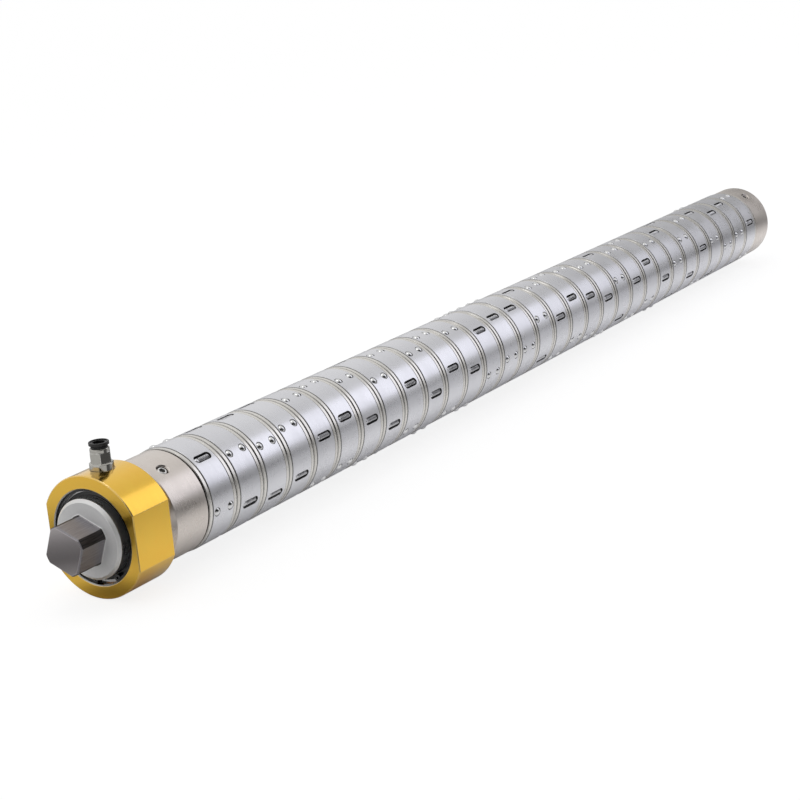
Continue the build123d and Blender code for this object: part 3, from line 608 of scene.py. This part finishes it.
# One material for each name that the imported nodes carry
materials = {
    "sleeve_steel": turned_metal(
        "ground_sleeve", (0.83, 0.83, 0.862, 1), (0.74, 0.74, 0.772, 1), (0.24, 0.34),
        spacing=0.0007, depth=0.12, cloud=0.014, edge_tone=grey(0.92), per_ring=0.25, run=0.8,
    ),
    "rim_nickel": turned_metal(
        "plated_rim", (0.86, 0.84, 0.80, 1), (0.74, 0.715, 0.675, 1), (0.22, 0.32),
        spacing=0.0006, depth=0.2, cloud=0.015, edge_tone=(0.95, 0.93, 0.89, 1), gap_shade_share=0.8,
        per_ring=0.2,
    ),
    # Painted shade: the hub is laid near black, as it shows only in the gaps between the rings.
    "hub_steel": turned_metal(
        "turned_hub", (0.16, 0.15, 0.14, 1), (0.10, 0.09, 0.085, 1), (0.3, 0.5),
        edge_tone=grey(0.4), gap_shade_share=0.9,
    ),
    "ball_steel": turned_metal(
        "polished_ball", grey(0.86), grey(0.76), (0.04, 0.10),
        spacing=0.002, depth=0.05, cloud=0.004, gap_shade_share=0.9, reach=0.003,
    ),
    "pin_steel": turned_metal(
        "spring_wire", (0.88, 0.88, 0.90, 1), (0.72, 0.72, 0.74, 1), (0.32, 0.48),
        spacing=0.0006, cloud=0.003, edge_tone=grey(0.9), edge_radius=0.0001, gap_shade_share=0.15,
    ),
    "collar_nickel": turned_metal(
        "satin_nickel_collar", (0.82, 0.76, 0.71, 1), (0.69, 0.63, 0.58, 1), (0.24, 0.36),
        spacing=0.0008, depth=0.2, cloud=0.016, edge_tone=(0.94, 0.90, 0.86, 1), gap_shade_share=0.45,
    ),
    "journal_steel": turned_metal(
        "milled_journal", grey(0.94), grey(0.84), (0.24, 0.38),
        spacing=0.0006, depth=0.4, edge_tone=grey(0.97), edge_radius=0.0004,
    ),
    "mandrel_steel": turned_metal(
        "mandrel_bar", grey(0.55), grey(0.42), (0.28, 0.45),
        spacing=0.0004, cloud=0.04, edge_tone=grey(0.75),
    ),
    "screw_black": turned_metal(
        "bright_set_screw", (0.90, 0.88, 0.85, 1), grey(0.74), (0.10, 0.20),
        spacing=0.0006, cloud=0.004, edge_tone=grey(0.97), edge_radius=0.0004, gap_shade_share=0.95, reach=0.0032,
    ),
    "bearing_steel": turned_metal(
        "ground_race", grey(0.74), grey(0.62), (0.16, 0.28),
        spacing=0.00015, cloud=0.01, edge_tone=grey(0.88),
    ),
    "cage_brass": turned_metal(
        "pressed_cage", (0.72, 0.50, 0.22, 1), (0.55, 0.36, 0.14, 1), (0.3, 0.45),
        cloud=0.008, edge_tone=(0.85, 0.65, 0.35, 1),
    ),
    # Its pale edge tone is a painted highlight along the gold's edges.
    "gold_anodised": turned_metal(
        "gold_anodised_housing", (1.0, 0.645, 0.07, 1), (0.99, 0.56, 0.05, 1), (0.15, 0.25),
        spacing=0.0015, depth=0.06, cloud=0.03, edge_tone=(1.0, 0.94, 0.74, 1), edge_radius=0.0005, gap_shade_share=0.3,
        reach=0.0004, coat=0.7,
    ),
    "carrier_aluminium": turned_metal(
        "seal_carrier_aluminium", (0.78, 0.79, 0.80, 1), (0.66, 0.67, 0.68, 1), (0.25, 0.4),
        cloud=0.01,
    ),
    # Its near-white edge tone on darkened faces is a painted highlight along the fitting's edges.
    "fitting_nickel": turned_metal(
        "bright_nickel_fitting", (0.56, 0.55, 0.51, 1), (0.44, 0.43, 0.39, 1), (0.05, 0.14),
        depth=0.1, cloud=0.008, edge_tone=(0.98, 0.97, 0.95, 1), edge_radius=0.0005, gap_shade_share=0.9, reach=0.004,
    ),
    "circlip_black": turned_metal(
        "phosphated_circlip", grey(0.09), grey(0.045), (0.16, 0.28),
        spacing=0.0005, cloud=0.004, edge_tone=grey(0.6), edge_radius=0.0004, gap_shade_share=0.1,
    ),
    "shield_black": turned_metal(
        "dark_bearing_shield", grey(0.08), grey(0.04), (0.16, 0.28),
        spacing=0.0004, cloud=0.01, edge_tone=grey(0.35), edge_radius=0.0005, gap_shade_share=0.1,
    ),
    "seal_rubber": moulded("seal_rubber", grey(0.03), grey(0.015), (0.5, 0.7), grey(0.06)),
    "fitting_plastic": moulded(
        "release_collar_plastic", grey(0.022), grey(0.012), (0.3, 0.42), grey(0.06),
        grain=0.0005, depth=0.15,
    ),
    "strip_lining": moulded(
        "friction_lining", (0.16, 0.11, 0.07, 1), (0.09, 0.06, 0.04, 1), (0.7, 0.9),
        (0.22, 0.16, 0.1, 1), grain=0.0012, depth=0.8,
    ),
}

# Colours that only part of a piece has: the milled squares and the machined mouth of the air ring.
# The rest is painted shade: the squares' round corners, and the sides and slot walls of the slip
# rings, darkened where shade falls between and inside the rings.
journal, sleeve = materials["journal_steel"], materials["sleeve_steel"]
lay_over(journal, on_squares, [(0.30, 0.285, 0.30, 1), (0.41, 0.395, 0.415, 1)])
# Painted shade: the squares' round corners are laid near black.
lay_over(journal, on_round_corners, [(0.04, 0.036, 0.036, 1), (0.12, 0.11, 0.11, 1)])
lay_over(journal, on_square_ends, (0.59, 0.55, 0.555, 1))
lay_over(materials["gold_anodised"], in_mouth, (0.50, 0.50, 0.49, 1))
# Painted shade: the rims' and sleeves' sides, which face the next ring, are darkened.
lay_over(materials["rim_nickel"], on_end_faces, (0.15, 0.14, 0.13, 1))
lay_over(sleeve, on_end_faces, (0.16, 0.155, 0.15, 1))
# Painted shade: the walls of the slots and ball windows are darkened.
lay_over(sleeve, in_slots, (0.20, 0.195, 0.19, 1))
roughen(sleeve, in_slots, 0.6)
roughen(journal, on_squares, 0.55)
roughen(journal, on_square_ends, 0.13)
roughen(journal, on_flange_faces, 0.8)

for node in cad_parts.values():
    node.material_slots[0].material = materials[node.material_slots[0].material.name]


# Meshes

def add_piece(name, points, faces, slot, body, node, normals=None):
    """A smooth mesh object at the origin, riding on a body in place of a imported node."""
    mesh = bpy.data.meshes.new(name)
    mesh.from_pydata(points, [], faces)
    mesh.polygons.foreach_set("use_smooth", np.ones(len(mesh.polygons), bool))
    if normals is not None:
        mesh.normals_split_custom_set(normals)
    mesh.materials.append(materials[slot])
    piece = bpy.data.objects.new(name, mesh)
    bpy.context.scene.collection.objects.link(piece)
    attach(piece, body)
    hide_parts(node)


def turned(points, degrees):
    """Points turned about X by the right-hand rule: y cos t - z sin t, y sin t + z cos t."""
    c, s = math.cos(math.radians(degrees)), math.sin(math.radians(degrees))
    return points @ np.array([[1, 0, 0], [0, c, s], [0, -s, c]])


def merged_mesh(name):
    """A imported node's triangles as shared points, with the normal of every face corner kept:
    corners at the same place, to a tenth of a micrometre, become one point."""
    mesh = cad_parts[name].data
    places = np.empty(len(mesh.vertices) * 3, np.float32)
    mesh.vertices.foreach_get("co", places)
    places = places.reshape(-1, 3)
    corners = np.empty(len(mesh.loops), np.int32)
    mesh.loops.foreach_get("vertex_index", corners)
    normals = np.empty(len(mesh.loops) * 3, np.float32)
    mesh.corner_normals.foreach_get("vector", normals)
    _, first, same = np.unique(
        np.round(places / MERGE_STEP).astype(np.int64), axis=0,
        return_index=True, return_inverse=True,
    )
    faces = same.reshape(-1)[corners].reshape(-1, 3)
    a, b, c = faces.T
    whole = (a != b) & (b != c) & (c != a)
    return places[first], faces[whole], normals.reshape(-1, 3, 3)[whole]


def lathe(profile, segments):
    """A closed solid of revolution about X. Each profile point (x, r) goes round as
    (x, -r sin a, r cos a) at evenly spaced turns a; the first and last points lie on the axis."""
    x, r = np.asarray(profile, float).T
    a = np.linspace(0, 2 * np.pi, segments, endpoint=False)
    body = np.stack([
        np.repeat(x[1:-1, None], segments, 1),
        -r[1:-1, None] * np.sin(a),
        r[1:-1, None] * np.cos(a),
    ], axis=-1).reshape(-1, 3)
    points = np.concatenate([[[x[0], 0, 0]], body, [[x[-1], 0, 0]]])
    rows = len(x) - 2
    j = np.arange(segments)
    k = (j + 1) % segments
    i = np.arange(rows - 1)[:, None] * segments + 1
    quads = np.stack([i + j, i + k, i + segments + k, i + segments + j], axis=-1)
    last = (rows - 1) * segments + 1
    faces = quads.reshape(-1, 4).tolist()
    faces += np.stack([np.zeros_like(j), 1 + k, 1 + j], axis=-1).tolist()
    faces += np.stack([np.full_like(j, len(points) - 1), last + j, last + k], axis=-1).tolist()
    return points, faces


def coil(start, end, radius, wire, turns, steps, sides):
    """A wire wound about X. Its centre is (x, r sin a, r cos a), where x climbs by one wire over
    the first and the last turn and evenly between them; round it goes a circle of the wire's
    radius in the plane of X and the outward radius, and a flat cap closes each end."""
    n = np.linspace(0, turns, turns * steps + 1)
    a = 2 * np.pi * n
    closing = np.clip(n, 0, 1) + np.clip(n - turns + 1, 0, 1)
    middle = np.clip((n - 1) / (turns - 2), 0, 1)
    x = start + wire + 2 * wire * closing + middle * (end - start - 6 * wire)
    b = np.linspace(0, 2 * np.pi, sides, endpoint=False)
    r = radius - wire + wire * np.cos(b)
    points = np.stack([
        x[:, None] + wire * np.sin(b), r * np.sin(a)[:, None], r * np.cos(a)[:, None],
    ], axis=-1).reshape(-1, 3)
    j = np.arange(sides)
    k = (j + 1) % sides
    i = np.arange(len(n) - 1)[:, None] * sides
    quads = np.stack([i + j, i + k, i + sides + k, i + sides + j], axis=-1)
    faces = quads.reshape(-1, 4).tolist()
    faces += [j[::-1].tolist(), (j + (len(n) - 1) * sides).tolist()]
    return points, faces


def joined(parts):
    """Several (points, faces) as one."""
    points, faces, count = [], [], 0
    for part_points, part_faces in parts:
        points.append(part_points)
        faces += [[index + count for index in face] for face in part_faces]
        count += len(part_points)
    return np.concatenate(points), faces


def ball_set():
    """The six balls of a ring in its own frame: a half circle turned about X, at each lock."""
    u = np.linspace(0, np.pi, BALL_POINTS)
    half_circle = np.stack([-BALL_RADIUS * np.cos(u), BALL_RADIUS * np.sin(u)], axis=-1)
    ball, faces = lathe(half_circle, ROUND_SEGMENTS)
    balls = []
    for lock in range(LOCK_COUNT):
        for side in (-1, 1):
            place = (side * BALL_SPACING / 2, 0, BALL_CENTRE_RADIUS)
            balls.append((turned(ball + place, (lock + 0.5) * LOCK_STEP), faces))
    return joined(balls)


def spring_set():
    """The three drag pins and coil springs of a ring in its own frame. A pin's profile is a thin
    nose, a quarter circle up to the spring's radius and a short neck."""
    start = math.asin(PIN_NOSE_RADIUS / SPRING_RADIUS)
    u = np.linspace(start, np.pi / 2, PIN_DOME_POINTS)
    dome = np.stack([PIN_DOME_X - SPRING_RADIUS * np.cos(u), SPRING_RADIUS * np.sin(u)], axis=-1)
    nose = [(PIN_NOSE_X, 0), (PIN_NOSE_X, PIN_NOSE_RADIUS)]
    neck = [(PIN_END_X, SPRING_RADIUS), (PIN_END_X, 0)]
    pin = lathe([*nose, *dome, *neck], ROUND_SEGMENTS)
    spring = coil(
        SPRING_START, SPRING_END, SPRING_RADIUS, WIRE_RADIUS, SPRING_COILS, STEPS_PER_COIL,
        WIRE_SIDES,
    )
    points, faces = joined([pin, spring])
    return joined([
        (turned(points + (0, 0, SPRING_CENTRE_RADIUS), lock * LOCK_STEP), faces)
        for lock in range(LOCK_COUNT)
    ])


# Slip rings: those behind the first take their hub, rims and sleeve from its nodes, turned and
# moved along, and get their own balls, pins and springs
first_parts = {part: merged_mesh(f"slip_ring_01_{part}") for part, _ in RING_PARTS}
first_middle = STACK_START + RING_PITCH / 2
balls, ball_faces = ball_set()
springs, spring_faces = spring_set()
for number, (ring, ring_turn) in enumerate(zip(RING_NODES, RING_TURNS[1:]), start=1):
    along = np.array([number * RING_PITCH, 0, 0])
    middle = along + (first_middle, 0, 0)
    turn = ring_turn - RING_TURNS[0]
    for part, slot in RING_PARTS:
        points, faces, normals = first_parts[part]
        add_piece(
            f"{ring}_{part}", turned(points, turn) + along, faces, slot, ring, ring,
            turned(normals.reshape(-1, 3), turn),
        )
    ring_balls = turned(balls, ring_turn) + middle
    ring_springs = turned(springs, ring_turn) + middle
    add_piece(f"{ring}_balls", ring_balls, ball_faces, "ball_steel", ring, ring)
    add_piece(f"{ring}_springs", ring_springs, spring_faces, "pin_steel", ring, ring)


# Studio

def add_floor():
    """A wide pale floor under the air ring. To the camera it glows almost white and shows only
    part of the shadow. In reflections it carries painted light and shade: brighter under the
    shaft, and darker away from it, towards the camera, beyond the rear end and in a band before
    the air ring."""
    mesh = bpy.data.meshes.new("floor")
    ends = (-FLOOR_HALF, FLOOR_HALF)
    mesh.from_pydata([(x, y, FLOOR_Z) for y in ends for x in ends], [], [(0, 1, 3, 2)])
    floor = bpy.data.objects.new("floor", mesh)
    bpy.context.scene.collection.objects.link(floor)
    material = bpy.data.materials.new("pale_floor")
    material.use_nodes = True
    nodes = Nodes(material.node_tree)
    material.node_tree.nodes.remove(material.node_tree.nodes["Principled BSDF"])
    ground = nodes.place()
    x, y, _ = nodes.split(ground)
    beside = nodes.math("ABSOLUTE", y)
    towards = nodes.dot(ground, (*TOWARDS_CAMERA, 0.0))
    from_origin = nodes.add("ShaderNodeVectorMath", {0: ground}, operation="LENGTH")
    before = nodes.ramp(from_origin.outputs["Value"], BEFORE_REACH, BEFORE_STOPS)
    mottle = nodes.noise(ground, MOTTLE_SCALE, detail=4.0)
    tone = grey(FLOOR_TONE)
    for factor, colour in (
        (nodes.between(beside, *BESIDE_RANGE, smooth=True), grey(BESIDE_TONE)),
        (nodes.between(towards, *CAMERA_SIDE_RANGE, smooth=True), grey(CAMERA_SIDE_TONE)),
        (nodes.between(x, *BEFORE_RANGE), before),
        (nodes.between(x, *BEHIND_RANGE), grey(BEHIND_TONE)),
        (nodes.math("MULTIPLY", mottle, MOTTLE_SHARE), grey(MOTTLE_TONE)),
    ):
        tone = nodes.blend(factor, tone, colour)
    narrow = nodes.math(
        "MULTIPLY", nodes.between(beside, *NARROW_GLOW_RANGE), nodes.between(x, *NARROW_GLOW_ALONG)
    )
    wide = nodes.math(
        "MULTIPLY", nodes.between(beside, *WIDE_GLOW_RANGE), nodes.between(x, *WIDE_GLOW_ALONG)
    )
    glow = nodes.math("ADD", narrow, wide)
    glow = nodes.math("MULTIPLY", glow, nodes.between(beside, *GLOW_GAP_RANGE))
    glow = nodes.math("MULTIPLY", glow, nodes.between(x, *GLOW_START_RANGE))
    plain = nodes.add("ShaderNodeAddShader")
    nodes.put(plain.inputs[0], nodes.add("ShaderNodeBsdfDiffuse", {"Color": tone}).outputs[0])
    nodes.put(plain.inputs[1], nodes.add("ShaderNodeEmission", {"Strength": glow}).outputs[0])
    seen = nodes.add("ShaderNodeAddShader")
    seen_matt = nodes.add("ShaderNodeBsdfDiffuse", {"Color": grey(SEEN_FLOOR_TONE)})
    seen_glow = nodes.add("ShaderNodeEmission", {"Color": grey(SEEN_FLOOR_GLOW)})
    nodes.put(seen.inputs[0], seen_matt.outputs[0])
    nodes.put(seen.inputs[1], seen_glow.outputs[0])
    by_camera = nodes.add("ShaderNodeLightPath").outputs["Is Camera Ray"]
    mix = nodes.add("ShaderNodeMixShader", {"Fac": by_camera})
    nodes.put(mix.inputs[1], plain.outputs[0])
    nodes.put(mix.inputs[2], seen.outputs[0])
    nodes.put(material.node_tree.nodes["Material Output"].inputs["Surface"], mix.outputs[0])
    mesh.materials.append(material)


def add_soft_box(name, place, target, size, brightness, colour):
    """A rectangular area light that faces a target."""
    light = bpy.data.lights.new(name, "AREA")
    light.shape = "RECTANGLE"
    light.size, light.size_y = size
    light.energy = brightness * math.pi * size[0] * size[1]
    light.color = colour
    lamp = bpy.data.objects.new(name, light)
    lamp.location = place
    direction = Vector(target) - Vector(place)
    lamp.rotation_euler = direction.to_track_quat("-Z", "Y").to_euler()
    bpy.context.scene.collection.objects.link(lamp)


def make_world():
    """Plain studio surroundings: white to the camera. For light and reflections they are a pale
    ceiling that is darker towards the horizon, darker beyond the shaft's far end, and dark to
    the right of the camera."""
    world = bpy.data.worlds.new("studio")
    bpy.context.scene.world = world
    world.use_nodes = True
    nodes = Nodes(world.node_tree)
    direction = nodes.add("ShaderNodeTexCoord").outputs["Generated"]
    x, y, z = nodes.split(direction)
    dark = nodes.math(
        "MULTIPLY",
        nodes.between(nodes.dot(direction, DARK_SIDE), *DARK_WIDTH),
        nodes.between(z, *DARK_HEIGHT),
    )
    tone = nodes.ramp(z, 1.0, SKY_STOPS)
    tone = nodes.blend(nodes.between(y, *LEFT_RANGE), tone, grey(LEFT_TONE))
    tone = nodes.blend(nodes.between(x, *FAR_RANGE, smooth=True), tone, grey(FAR_TONE))
    tone = nodes.blend(dark, tone, grey(DARK_TONE))
    by_camera = nodes.add("ShaderNodeLightPath").outputs["Is Camera Ray"]
    background = world.node_tree.nodes["Background"]
    nodes.put(background.inputs["Color"], nodes.blend(by_camera, tone, grey(1.0)))


add_floor()
for soft_box in SOFT_BOXES:
    add_soft_box(*soft_box)
make_world()
